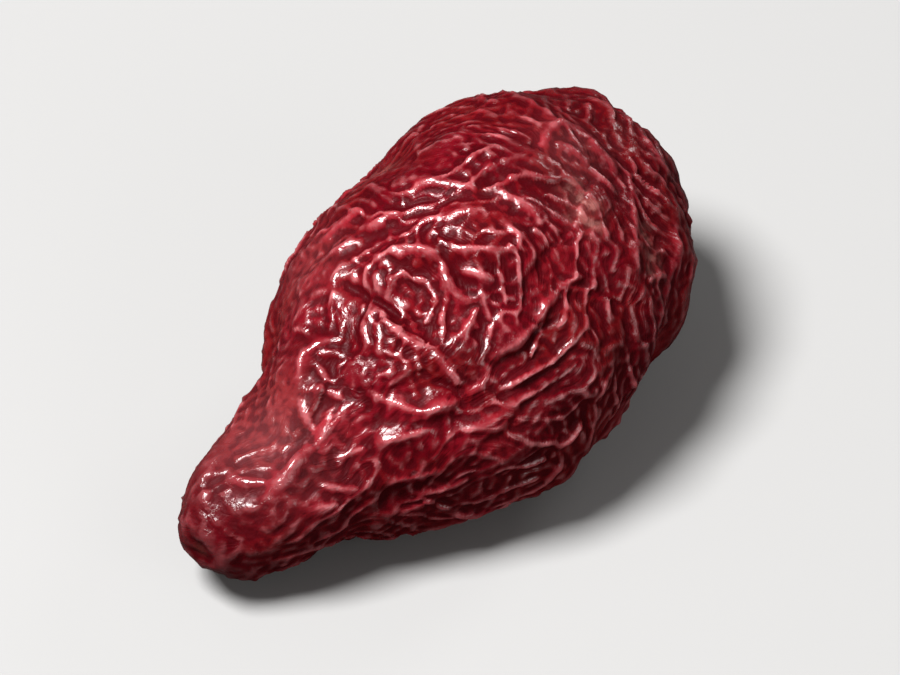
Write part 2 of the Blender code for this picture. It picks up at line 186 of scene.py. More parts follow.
@dataclass(frozen=True)
class FruitForm:
    """The smooth fruit under the wrinkles: a bulb that narrows to a bent neck."""

    half_length: float = 10.5
    neck_radius: float = 4.2
    bulb_radius: float = 6.1
    swell_start: float = -0.79
    swell_span: float = 1.28
    waist_depth: float = 0.85
    waist_at: float = -0.67
    waist_span: float = 0.20
    neck_bluntness: float = 0.08
    blunt_start: float = 0.3
    blunt_span: float = 0.6
    flattening: float = 0.905
    neck_swing: float = 2.2
    swing_start: float = 0.115
    swing_span: float = 1.1
    neck_drop: float = 2.4
    drop_start: float = -0.15
    drop_span: float = 1.15
    lobes_start: float = -0.75
    lobes_span: float = 0.9
    press_depth: float = 0.048
    press_angle: float = 2.44
    press_arc: float = 0.6
    side_depth: float = 0.047
    side_angle: float = 1.0
    side_arc: float = 0.7
    side_length: float = 0.25
    area: float = 640.0

    def outline(self, tau: Array) -> tuple[Array, Array]:
        """Half outline of the turned fruit.

        The distance along the axis is the half length times the cosine of tau. The radius is the
        sine of tau times a fullness that swells from neck to bulb and dips at the waist.

        Args:
            tau: Outline angle, 0 at the blunt end and pi at the neck's end.

        Returns:
            The distance along the axis and the radius, in millimetres.
        """
        c = np.cos(tau)
        swell = smooth_step((c - self.swell_start) / self.swell_span)
        full = self.neck_radius + (self.bulb_radius - self.neck_radius) * swell
        full = full - self.waist_depth * bell(c - self.waist_at, self.waist_span)
        power = 1.0 - self.neck_bluntness * smooth_step((-c - self.blunt_start) / self.blunt_span)
        return self.half_length * c, full * np.maximum(np.sin(tau), 0.0) ** power

    def outline_run(self, by_area: bool = False) -> tuple[Array, Array]:
        """Share of the outline's length, or of the skin's area, up to each of many tau.

        Args:
            by_area: Whether the steps are weighted by the radius, as the turned skin's area is.

        Returns:
            The values of tau, and the share up to each from 0 to 1.
        """
        tau = np.linspace(0.0, np.pi, OUTLINE_POINTS)
        x, r = self.outline(tau)
        step = np.hypot(np.diff(x), np.diff(r))
        if by_area:
            step = step * (r[1:] + r[:-1])
        run = np.concatenate([[0.0], np.cumsum(step)])
        return tau, run / run[-1]

    def lobes(self, w: Array, theta: Array) -> Array:
        """Section radius over that of a circle: soft lobes, a press, a flat side, and swellings.

        Args:
            w: Station of each point, from -1 at the neck to 1 at the blunt end.
            theta: Section angle of each point.

        Returns:
            The share of the circle's radius.
        """
        body = smooth_step((w - self.lobes_start) / self.lobes_span)
        out = -self.press_depth * bell(angle_gap(theta, self.press_angle), self.press_arc)
        for count, share, turn in LOBES:
            out = out + share * np.cos(count * (theta + turn))
        side = bell(w, self.side_length) * bell(angle_gap(theta, self.side_angle), self.side_arc)
        out = 1.0 + body * out - self.side_depth * side
        for station, degrees, share in SWELLINGS:
            arc = bell(angle_gap(theta, np.radians(degrees)), SWELLING_ARC)
            out = out + share * bell(w - station, SWELLING_LENGTH) * arc
        return out

    def skin(self, tau: Array, theta: Array) -> SkinPoints:
        """Smooth skin: the outline turned about the axis, lobed, flattened and bent at the neck.

        Args:
            tau: Outline angle of each point.
            theta: Section angle of each point, 0 toward +Y and a quarter turn up.

        Returns:
            The points and the unit directions outward, lengthwise and crosswise at them.
        """
        step = 1e-3
        x, r = self.outline(tau)
        x0, r0 = self.outline(np.clip(tau + step, 0.0, np.pi))
        x1, r1 = self.outline(np.clip(tau - step, 0.0, np.pi))
        tx, tr = x1 - x0, r1 - r0
        size = np.hypot(tx, tr)
        tx, tr = tx / size, tr / size
        ct, st = np.cos(theta), np.sin(theta)
        w = x / self.half_length
        out = self.lobes(w, theta)
        swing = self.neck_swing * smooth_step((-w - self.swing_start) / self.swing_span)
        drop = self.neck_drop * smooth_step((-w - self.drop_start) / self.drop_span)
        y = r * ct * out + swing
        z = r * st * out * self.flattening - drop
        return SkinPoints(
            places=np.stack([x, y, z], axis=1),
            outward=np.stack([-tr, tx * ct, tx * st], axis=1),
            along=np.stack([tx, tr * ct, tr * st], axis=1),
            across=np.stack([0.0 * ct, -st, ct], axis=1),
            station=w,
        )

    def at(self, station: Array | float, degrees: Array | float) -> Array:
        """Points of the smooth skin at stations from -1 to 1 and section angles in degrees."""
        tau = np.arccos(np.clip(np.atleast_1d(station), -1.0, 1.0))
        return self.skin(tau, np.radians(np.atleast_1d(degrees))).places


@dataclass(frozen=True)
class Waves:
    """Wave packets spread evenly over the skin, whose summed phase gives crests of one height."""

    wavelength: float
    breadth: float
    length: float
    per_mm2: float
    seed: int
    sway: float
    sway_wave: float
    uneven: float = 0.0
    uneven_wave: float = 5.0

    def packets(self, form: FruitForm, heart: Array) -> tuple[Array, ...]:
        """Place the packets on a golden spiral that gives equal skin to each.

        Each wave runs away from the heart of the pressed facet on the bulb, so that its crests ring
        the facet, and crosswise on the neck, so that they run lengthwise there.

        Args:
            form: The smooth fruit.
            heart: Middle of the facet, one point.

        Returns:
            Centres, unit wave directions, phases and wavelengths.
        """
        tau_of, share = form.outline_run(by_area=True)
        count = int(form.area * self.per_mm2)
        rng = np.random.default_rng(self.seed)
        tau = np.interp((np.arange(count) + 0.5) / count, share, tau_of)
        theta = GOLDEN_TURN * np.arange(count) + PACKET_JITTER * rng.random(count) / np.sqrt(count)
        at = form.skin(tau, theta)
        away = at.places - heart
        away = away - at.outward * np.sum(away * at.outward, axis=1, keepdims=True)
        run_along = np.sum(away * at.along, axis=1)
        run_across = np.sum(away * at.across, axis=1)
        neck = smooth_step((-at.station - NECK_START) / NECK_SPAN)
        run_along = run_along * (1.0 - NECK_TURN * neck)
        turn = np.arctan2(run_along, run_across + 1e-6)
        turn = turn + self.sway * slow_noise(at.places, self.sway_wave, self.seed + 1)
        wave = at.across * np.cos(turn)[:, None] + at.along * np.sin(turn)[:, None]
        phase = rng.uniform(0.0, 2.0 * np.pi, count)
        wider = Drift(1.0, self.uneven, self.uneven_wave, self.seed + 2).over(at.places)
        return at.places, wave, phase, self.wavelength * wider

    def total(self, form: FruitForm, heart: Array, places: Array) -> Array:
        """Add up the packets: each is a complex wave under a bell curve about its centre.

        Args:
            form: The smooth fruit.
            heart: Middle of the facet that the waves leave.
            places: Where the sum is read.

        Returns:
            The complex sum at each place.
        """
        centres, wave, phase, waves_mm = (a.astype(np.float32) for a in self.packets(form, heart))
        places = places.astype(np.float32)
        reach = PACKET_REACH * self.wavelength * max(self.length, self.breadth)
        total = np.zeros(len(places), np.complex128)
        cell = np.floor(places / CELL).astype(int)
        order = np.lexsort((cell[:, 2], cell[:, 1], cell[:, 0]))
        for part in np.array_split(order, max(1, len(places) // POINTS_AT_ONCE)):
            here = places[part]
            near = np.all((centres > here.min(0) - reach) & (centres < here.max(0) + reach), axis=1)
            c, k, f = centres[near], wave[near], phase[near]
            rate = np.float32(2.0 * np.pi) / waves_mm[near]
            u = here @ k.T - np.sum(c * k, axis=1)
            gap = np.sum(here * here, axis=1)[:, None] - 2.0 * here @ c.T + np.sum(c * c, axis=1)
            side = np.maximum(gap - u * u, 0.0)
            fade = (u / np.float32(self.breadth)) ** 2 + side / np.float32(self.length**2)
            fade = np.exp(fade * np.float32(-0.5 / self.wavelength**2))
            angle = u * rate + f
            total[part] = np.sum(fade * np.cos(angle), axis=1) + 1j * np.sum(fade * np.sin(angle), axis=1)
        return total


@dataclass(frozen=True)
class Wrinkles:
    """One size of wrinkle: its waves, and its crests' height, sharpness and average."""

    waves: Waves
    height: float
    sharpness: float
    average: float

    def crests(self, waves: Array) -> Array:
        """Crests from 0 in the furrows to 1: half of 1 plus the phase's cosine, to a power."""
        return ((1.0 + np.cos(np.angle(waves))) / 2.0) ** self.sharpness * full_height(waves)

    def pinched(self, waves: Array, thinner: Array) -> Array:
        """Crests with a narrow top: e to the minus of sharpness times the half phase's sine."""
        away = np.hypot(np.sin(np.angle(waves) / 2.0), TOP_ROUNDING) - TOP_ROUNDING
        return np.exp(-self.sharpness * thinner * away) * full_height(waves)

    def raised(self, crest: Array) -> Array:
        """Height of the crests over their average, in millimetres."""
        return self.height * (crest - self.average)


SkinSpot = tuple[float, float]


@dataclass(frozen=True)
class Crease:
    """One fold of skin through three spots, each a station and a section angle in degrees."""

    height: float
    width: float
    start: SkinSpot
    middle: SkinSpot
    end: SkinSpot

    def laid(self, form: FruitForm, places: Array) -> tuple[Array, Array]:
        """Lift the skin along a quadratic curve through the three spots.

        The lift falls off as e to the minus of the distance over the width, so its top is narrow
        and its sides are hollow, and it tapers to both ends.

        Args:
            form: The smooth fruit.
            places: Where the lift is read.

        Returns:
            The lift in millimetres, and how near the fold is, from 0 to 1 over twice its width.
        """
        t = np.linspace(0.0, 1.0, CREASE_POINTS)
        share = np.stack([(1.0 - t) * (1.0 - 2.0 * t), 4.0 * t * (1.0 - t), t * (2.0 * t - 1.0)], axis=1)
        spots = share @ np.array([self.start, self.middle, self.end])
        line = form.at(spots[:, 0], spots[:, 1])
        lift, nearness = np.zeros((2, len(places)))
        near = np.linalg.norm(places - line[CREASE_POINTS // 2], axis=1) < CREASE_REACH
        gap = np.linalg.norm(places[near][:, None, :] - line[None, :, :], axis=2)
        nearest = np.argmin(gap, axis=1)
        taper = np.sqrt(np.sin(np.pi * (CREASE_END + (1.0 - 2.0 * CREASE_END) * t)))[nearest]
        gap = gap[np.arange(len(gap)), nearest]
        pinch = np.exp(CREASE_ROUNDING - np.hypot(CREASE_PINCH * gap / self.width, CREASE_ROUNDING))
        lift[near] = self.height * taper * pinch
        nearness[near] = taper * bell(gap, 2.0 * self.width)
        return lift, nearness


# Main creases: round the facet, over it, across the neck, on the blunt end and along the flank
FACET_FOLDS = (
    Crease(0.30, 0.38, (-0.88, 117), (-0.70, 110), (-0.51, 109)),
    Crease(0.23, 0.27, (-0.47, 107), (-0.42, 132), (-0.30, 140)),
    Crease(0.18, 0.25, (-0.30, 140), (-0.24, 141), (-0.20, 135)),
    Crease(0.21, 0.25, (-0.18, 73), (-0.11, 83), (-0.10, 95)),
    Crease(0.21, 0.25, (-0.10, 95), (-0.13, 105), (-0.11, 117)),
    Crease(0.19, 0.21, (-0.12, 117), (-0.18, 119), (-0.26, 118)),
    Crease(0.15, 0.21, (-0.30, 91), (-0.32, 104), (-0.30, 115)),
    Crease(0.17, 0.22, (-0.30, 117), (-0.30, 127), (-0.30, 137)),
    Crease(-0.24, 0.25, (-0.26, 65), (-0.27, 87), (-0.28, 113)),
)
BROW_FOLDS = (
    Crease(0.20, 0.40, (0.00, 20), (0.09, 30), (0.12, 50)),
    Crease(0.17, 0.24, (-0.13, 39), (-0.08, 47), (-0.03, 55)),
    Crease(0.16, 0.23, (-0.20, 50), (-0.15, 56), (-0.11, 62)),
    Crease(0.18, 0.24, (-0.08, 61), (-0.05, 67), (-0.01, 72)),
    Crease(0.19, 0.25, (0.07, 70), (0.12, 80), (0.16, 90)),
    Crease(0.18, 0.25, (0.18, 95), (0.21, 107), (0.18, 115)),
    Crease(0.14, 0.21, (0.00, 82), (0.04, 90), (0.11, 97)),
    Crease(0.17, 0.21, (-0.05, 95), (0.00, 106), (0.07, 113)),
    Crease(0.15, 0.20, (0.07, 114), (0.11, 111), (0.10, 103)),
    Crease(0.14, 0.20, (-0.08, 103), (-0.06, 109), (-0.03, 116)),
)
LADDER_FOLDS = (
    Crease(0.19, 0.23, (-0.40, 80), (-0.47, 71), (-0.56, 78)),
    Crease(0.17, 0.21, (-0.56, 79), (-0.61, 93), (-0.62, 107)),
    Crease(0.15, 0.17, (-0.46, 74), (-0.44, 80), (-0.44, 86)),
    Crease(0.15, 0.17, (-0.48, 79), (-0.50, 86), (-0.51, 94)),
    Crease(0.16, 0.17, (-0.54, 79), (-0.53, 93), (-0.53, 105)),
    Crease(0.17, 0.18, (-0.60, 101), (-0.56, 106), (-0.53, 110)),
    Crease(0.15, 0.24, (-0.82, 68), (-0.84, 98), (-0.76, 116)),
)
CROWN_FOLDS = (
    Crease(0.21, 0.28, (0.41, 95), (0.57, 94), (0.59, 104)),
    Crease(0.21, 0.28, (0.59, 104), (0.58, 112), (0.58, 121)),
    Crease(0.17, 0.22, (0.48, 97), (0.49, 104), (0.50, 112)),
    Crease(0.17, 0.22, (0.50, 112), (0.50, 119), (0.53, 126)),
    Crease(0.19, 0.28, (0.64, 124), (0.50, 138), (0.34, 154)),
    Crease(0.17, 0.28, (0.84, 112), (0.80, 126), (0.80, 143)),
    Crease(0.15, 0.22, (0.38, 158), (0.46, 162), (0.51, 168)),
    Crease(0.17, 0.30, (0.67, 150), (0.57, 166), (0.34, 175)),
)
FLANK_FOLDS = (
    Crease(0.20, 0.25, (0.19, 138), (0.06, 136), (-0.02, 139)),
    Crease(0.20, 0.25, (-0.02, 139), (-0.11, 138), (-0.20, 135)),
    Crease(0.16, 0.23, (-0.37, 151), (-0.30, 156), (-0.20, 157)),
    Crease(0.16, 0.22, (-0.65, 124), (-0.61, 128), (-0.57, 131)),
    Crease(0.16, 0.23, (-0.55, 132), (-0.49, 138), (-0.42, 143)),
    Crease(0.15, 0.23, (-0.72, 136), (-0.67, 147), (-0.61, 151)),
    Crease(0.15, 0.23, (-0.79, 144), (-0.75, 150), (-0.70, 154)),
    Crease(0.16, 0.23, (-0.57, 160), (-0.51, 162), (-0.45, 166)),
    Crease(0.16, 0.25, (-0.53, 179), (-0.46, 179), (-0.38, 180)),
    Crease(0.15, 0.25, (-0.60, 182), (-0.54, 185), (-0.48, 185)),
    Crease(0.16, 0.27, (-0.44, 198), (-0.34, 210), (-0.24, 214)),
)
CREASES = FACET_FOLDS + BROW_FOLDS + LADDER_FOLDS + CROWN_FOLDS + FLANK_FOLDS


@dataclass(frozen=True)
class Patch:
    """Bell-shaped patch about a spot: its station, degrees, span in millimetres and strength."""

    station: float
    degrees: float
    span: float
    strength: float = 1.0

    def away(self, form: FruitForm, places: Array) -> Array:
        """Distance of each place from the patch's spot."""
        return np.linalg.norm(places - form.at(self.station, self.degrees), axis=1)

    def over(self, form: FruitForm, places: Array) -> Array:
        """Strength times a bell curve of the distance from the spot."""
        return self.strength * bell(self.away(form, places), self.span)


# Pale dull spots, calmer rosier patches, the ends darkened with painted shade, and the scars
PALE_SPOTS = (
    Patch(0.38, 115, 0.42, 0.8),
    Patch(0.36, 121, 0.50, 1.0),
    Patch(0.34, 126, 0.40, 0.7),
    Patch(0.18, 39, 0.55, 0.7),
    Patch(0.52, 147, 0.40, 0.6),
    Patch(0.47, 157, 0.45, 0.6),
    Patch(-0.91, 20, 0.80, 0.15),
)
CALM_PATCHES = (
    Patch(-0.70, 74, 1.9, 1.0),
    Patch(0.50, 104, 1.3, 0.45),
    Patch(-0.20, 40, 1.5, 0.5),
)
SHADED_ENDS = (Patch(-1.0, 0.0, 3.6), Patch(1.0, 0.0, 6.5, 0.55))
SCARS = (Patch(-1.0, 0.0, 0.50, 0.55), Patch(1.0, 0.0, 0.28, 0.5))

# The lost stalk's pit at the neck's end and the dimple at the blunt end, with their depths
STALK_PIT = Patch(-1.0, 0.0, 0.42, 0.11)
TIP_DIMPLE = Patch(1.0, 0.0, 0.42, 0.15)


@dataclass
class SkinRelief:
    """Relief over the smooth fruit, the masks that colour it, and the ridges' wave."""

    height: Array
    masks: dict[str, Array]
    ripple: Array


@dataclass
class WrinkledSkin:
    """The dried fruit's skin: broad folds, ringed ridges, crossing wrinkles, creases and scars."""

    form: FruitForm = FruitForm()

    # Sizes of wrinkle, from the broadest to the finest
    folds: Wrinkles = Wrinkles(Waves(3.3, 0.75, 0.75, 1.2, 3, 0.5, 9.0), 0.28, 1.0, 0.4)
    middle: Wrinkles = Wrinkles(Waves(1.75, 0.75, 1.0, 2.2, 11, 0.6, 6.0, 0.15), 0.10, 1.6, 0.35)
    ridges: Wrinkles = Wrinkles(Waves(0.80, 0.72, 1.10, 4.4, 7, 0.50, 3.6, 0.20), 0.21, 3.8, 0.3)
    crossing: Wrinkles = Wrinkles(Waves(0.50, 0.75, 1.3, 8.0, 19, 0.85, 2.4), 0.062, 1.7, 0.35)
    crinkles: Wrinkles = Wrinkles(Waves(0.36, 0.75, 0.9, 14.0, 23, 1.3, 1.4), 0.014, 1.2, 0.4)

    # Slow changes of the ridges' width and strength and of the creases' height
    thinner: Drift = Drift(1.0, 0.35, 2.6, 47, 1.3)
    fading: Drift = Drift(0.72, 0.28, 2.0, 37)
    broken: Drift = Drift(0.80, 0.20, 0.9, 43, 1.5)
    wander: Drift = Drift(1.0, 0.25, 1.3, 41, 1.3)

    # Pressed facet with its depth, the painted light about it, and the smoother end of the neck
    facet: Patch = Patch(-0.25, 101.0, 2.6, 0.32)
    highlit: Patch = Patch(-0.25, 101.0, 6.5, 0.62)
    highlit_drift: Drift = Drift(0.0, 0.18, 4.0, 57, 1.5)
    least_highlit: float = 0.38
    neck_end: Patch = Patch(-1.0, 0.0, 1.5)
    smooth_end: float = 0.6

    # How far the wrinkles stray, and where the ridges are strong
    stray: float = 0.035
    stray_wave: float = 1.6
    patchy_wave: float = 5.0
    patchy_seed: int = 31
    patchy_start: float = -1.4
    patchy_span: float = 1.9
    least_lively: float = 0.40
    calm_ridges: float = 0.85
    calm_middle: float = 0.7

    # How creases, ridges and crossing wrinkles share the skin
    crease_height: float = 1.15
    full_crest: float = 0.20
    crowding: float = 0.65
    fine_beside: float = 0.5
    least_fine: float = 0.25
    cross_crest: float = 0.22
    ripple_floor: float = 0.05

    # Lip round the lost stalk's pit, the flat spot it rests on, and the grids
    lip_height: float = 0.06
    lip_at: float = 0.75
    lip_span: float = 0.28
    rest_cut: float = 0.15
    rest_start: float = 0.02
    rest_fade: float = 0.7
    cells_along: int = 152
    cells_across: int = 110

    def heart(self) -> Array:
        """Middle of the pressed facet."""
        return self.form.at(self.facet.station, self.facet.degrees)

    def strongest(self, patches: tuple[Patch, ...], places: Array) -> Array:
        """Mask of several patches: the strongest of them at each place."""
        return np.maximum.reduce([patch.over(self.form, places) for patch in patches])

    def ends(self, places: Array) -> Array:
        """Lift of the stalk's lip, less the stalk's pit and the dimple at the blunt end."""
        lip = self.lip_height * bell(STALK_PIT.away(self.form, places) - self.lip_at, self.lip_span)
        return lip - STALK_PIT.over(self.form, places) - TIP_DIMPLE.over(self.form, places)

    def creased(self, places: Array) -> tuple[Array, Array]:
        """Lift of the strongest crease at each place, and how near the nearest one is.

        Args:
            places: Where the creases are read.

        Returns:
            The lift in millimetres, and the nearness from 0 to 1.
        """
        raised, beside = np.zeros((2, len(places)))
        for crease in CREASES:
            lift, nearness = crease.laid(self.form, places)
            raised = np.where(np.abs(lift) > np.abs(raised), lift, raised)
            beside = np.maximum(beside, nearness)
        return raised, beside

    def liveliness(self, places: Array, calm: Array) -> Array:
        """How strong the finer wrinkles are: slow blotches, less on calm skin, times a fading noise.

        Args:
            places: Where it is read.
            calm: Mask of the calmer patches there.

        Returns:
            The strength, near 1 where the wrinkles are at their full height.
        """
        noise = slow_noise(places, self.patchy_wave, self.patchy_seed)
        patchy = smooth_step((noise - self.patchy_start) / self.patchy_span)
        lively = self.least_lively + (1.0 - self.least_lively) * patchy
        return lively * (1.0 - self.calm_ridges * calm) * self.fading.over(places)

    def strayed(self, places: Array) -> Array:
        """Places moved a little by a noise along each axis, so that no wrinkle runs true."""
        stray = np.stack([slow_noise(places, self.stray_wave, seed) for seed in STRAY_SEEDS], axis=1)
        return places + self.stray * stray

    def painted_light(self, places: Array, end: Array) -> Array:
        """How much painted light the skin takes: most about the facet, plus slow noise away from the neck's
        end.
        """
        highlit = self.least_highlit + self.highlit.over(self.form, places)
        return np.clip(highlit + self.highlit_drift.over(places) * (1.0 - end), 0.0, 1.0)

    def ripple(self, waves: Array) -> Array:
        """Cosine and sine of the ridges' wave as a vector at each place."""
        flat = np.stack([waves.real, waves.imag, np.zeros(len(waves))], axis=1)
        return flat / (np.abs(waves)[:, None] + self.ripple_floor)

    def relief(self, at: SkinPoints) -> SkinRelief:
        """Height over the smooth fruit: the waves' crests, each times its height, plus the creases.

        Args:
            at: Smooth skin points.

        Returns:
            The height in millimetres, the masks of the skin, and the ridges' wave.
        """
        places, heart = at.places, self.heart()
        strayed = self.strayed(places)
        sizes = (self.folds, self.middle, self.ridges, self.crossing, self.crinkles)
        waves = [size.waves.total(self.form, heart, strayed) for size in sizes]
        fold, middle = self.folds.crests(waves[0]), self.middle.crests(waves[1])
        ridge = self.ridges.pinched(waves[2], self.thinner.over(places))
        cross, crinkle = self.crossing.crests(waves[3]), self.crinkles.crests(waves[4])
        calm = self.strongest(CALM_PATCHES, places)
        raised, beside = self.creased(strayed)
        raised = self.crease_height * raised * self.wander.over(places)
        covered = np.clip(raised / self.full_crest, 0.0, 1.0)
        lively = self.liveliness(places, calm)
        apart = lively * self.broken.over(places) * (1.0 - self.crowding * beside)
        fine = lively * (1.0 - self.fine_beside * covered)
        end = self.neck_end.over(self.form, places)
        height = self.folds.raised(fold) + self.middle.raised(middle) * (1.0 - self.calm_middle * calm)
        height = (height + self.ridges.raised(ridge) * apart) * (1.0 - self.smooth_end * end) + raised
        height = height - self.facet.over(self.form, places) + self.ends(places)
        height = height + self.crossing.raised(cross) * (self.least_fine + (1.0 - self.least_fine) * fine)
        height = height + self.crinkles.raised(crinkle)
        crest = ridge * apart + self.cross_crest * cross * fine + covered
        masks = {
            "crest": np.clip(crest, 0.0, 1.0),
            "calm": calm,
            "pale": self.strongest(PALE_SPOTS, places),
            "scar": self.strongest(SCARS, places),
            # Painted light about the facet and on the tops
            "painted_light": self.painted_light(places, end),
            # Painted shade at both ends
            "end_shade": self.strongest(SHADED_ENDS, places),
        }
        return SkinRelief(height, masks, self.ripple(waves[2]))

    def cube_face(self, rows: int, cols: int, way: int) -> tuple[Array, Array]:
        """Even grid on one face of the cube from -1 to 1.

        Args:
            rows: Cells down the face.
            cols: Cells across it.
            way: Which of the six faces, from 0 to 5.

        Returns:
            The grid's points, and its quads, which face outward.
        """
        down, side = np.linspace(-1.0, 1.0, rows + 1), np.linspace(-1.0, 1.0, cols + 1)
        a, b = np.meshgrid(down, side, indexing="ij")
        one = np.ones_like(a)
        faces = ((a, b, one), (a, -b, -one), (a, one, -b), (a, -one, b), (one, a, b), (-one, -a, b))
        points = np.stack([f.ravel() for f in faces[way]], axis=1)
        corner = np.arange((rows + 1) * (cols + 1)).reshape(rows + 1, cols + 1)
        quads = np.stack([corner[:-1, :-1], corner[1:, :-1], corner[1:, 1:], corner[:-1, 1:]], axis=-1)
        return points, quads.reshape(-1, 4)

    def ball(self) -> tuple[Array, Array]:
        """Six grids pushed out to a ball and joined where they meet.

        Returns:
            Unit directions from the middle, and quads that face outward.
        """
        points, quads, start = [], [], 0
        for way in range(6):
            rows = self.cells_along if way < 4 else self.cells_across
            grid, squares = self.cube_face(rows, self.cells_across, way)
            points.append(grid)
            quads.append(squares + start)
            start += len(grid)
        cube = np.concatenate(points)
        keys = np.round(cube, SEAM_DECIMALS)
        _, first, index = np.unique(keys, axis=0, return_index=True, return_inverse=True)
        even = np.tan(np.pi / 4.0 * cube[first])
        even = even / np.linalg.norm(even, axis=1, keepdims=True)
        return even, index.reshape(-1)[np.concatenate(quads)]

    def points(self, directions: Array) -> tuple[Array, SkinRelief]:
        """Wrinkled skin for each direction, set down on its flat spot.

        The relief is laid off outward and fades near the floor, below which the skin is cut flat.

        Args:
            directions: Unit directions from the middle.

        Returns:
            The points in millimetres and the relief there.
        """
        psi = np.arccos(np.clip(directions[:, 0], -1.0, 1.0))
        theta = np.arctan2(directions[:, 2], directions[:, 1])
        tau_of, share = self.form.outline_run()
        at = self.form.skin(np.interp(psi / np.pi, share, tau_of), theta)
        relief = self.relief(at)
        floor = at.places[:, 2].min() + self.rest_cut
        near_floor = smooth_step((at.places[:, 2] - floor - self.rest_start) / self.rest_fade)
        points = at.places + at.outward * (relief.height * near_floor)[:, None]
        points[:, 2] = np.maximum(points[:, 2] - floor, 0.0)
        return points, relief

    def hollows(self, points: Array, quads: Array, rounds: int, full: float) -> Array:
        """How far each point lies below its neighbours' average, after rounds of averaging.

        Args:
            points: Points of the skin.
            quads: Its quads.
            rounds: Rounds of averaging, more for wider hollows.
            full: Depth in millimetres from the darkest hollow to the highest crest.

        Returns:
            A mask of a half on even skin, 1 in the hollows and 0 on the crests.
        """
        start = quads[:, [0, 1, 2, 3]].ravel()
        end = quads[:, [1, 2, 3, 0]].ravel()
        count = np.bincount(start, minlength=len(points))[:, None]
        smooth = points
        for _ in range(rounds):
            total = np.stack([np.bincount(start, smooth[end, i], len(points)) for i in range(3)], axis=1)
            smooth = 0.5 * smooth + 0.5 * total / count
        corner = points[quads]
        facing = np.cross(corner[:, 2] - corner[:, 0], corner[:, 3] - corner[:, 1])
        facing = np.repeat(facing, 4, axis=0)
        normal = np.stack([np.bincount(quads.ravel(), facing[:, i], len(points)) for i in range(3)], axis=1)
        normal = normal / np.maximum(np.linalg.norm(normal, axis=1, keepdims=True), 1e-9)
        depth = np.sum((smooth - points) * normal, axis=1)
        depth = 0.5 * depth + 0.5 * np.bincount(start, depth[end], len(points)) / count[:, 0]
        return np.clip(0.5 + depth / full, 0.0, 1.0)

    def mesh(self, points: Array, quads: Array) -> bpy.types.Mesh:
        """Smooth-shaded mesh of the skin.

        Args:
            points: Points in millimetres.
            quads: Quads of the points.

        Returns:
            The mesh, in metres.
        """
        mesh = bpy.data.meshes.new("dried_skin")
        mesh.vertices.add(len(points))
        mesh.vertices.foreach_set("co", (points * MM).ravel())
        mesh.loops.add(quads.size)
        mesh.loops.foreach_set("vertex_index", quads.ravel().astype(np.int32))
        mesh.polygons.add(len(quads))
        mesh.polygons.foreach_set("loop_start", np.arange(0, quads.size, 4, dtype=np.int32))
        mesh.update(calc_edges=True)
        mesh.shade_smooth()
        return mesh

    def build(self) -> bpy.types.Object:
        """Make the skin's mesh object with its colour masks as point attributes.

        Returns:
            The skin, centred over its flat spot.
        """
        directions, quads = self.ball()
        points, relief = self.points(directions)
        low, high = points.min(axis=0), points.max(axis=0)
        points[:, :2] -= (low[:2] + high[:2]) / 2.0
        mesh = self.mesh(points, quads)
        masks = dict(relief.masks, hollow=self.hollows(points, quads, *HOLLOW))
        masks["dip"] = self.hollows(points, quads, *DIP)
        for name, values in masks.items():
            layer = mesh.attributes.new(name, "FLOAT", "POINT")
            layer.data.foreach_set("value", values.astype(np.float32))
        layer = mesh.attributes.new("ripple", "FLOAT_VECTOR", "POINT")
        layer.data.foreach_set("vector", relief.ripple.astype(np.float32).ravel())
        skin = bpy.data.objects.new("dried_skin", mesh)
        bpy.context.scene.collection.objects.link(skin)
        return skin


Colour = tuple[float, float, float]
Socket = bpy.types.NodeSocket
Masks = dict[str, Socket]


@dataclass(frozen=True)
class Ramp:
    """Soft step between two inputs, and what it gives at each of them."""

    low: float
    high: float
    at_low: float
    at_high: float


@dataclass(frozen=True)
class Mottle:
    """Noise: its blotches' width, detail, seed, and the soft step it goes through."""

    wave_mm: float
    detail: float
    seed: float
    ramp: Ramp


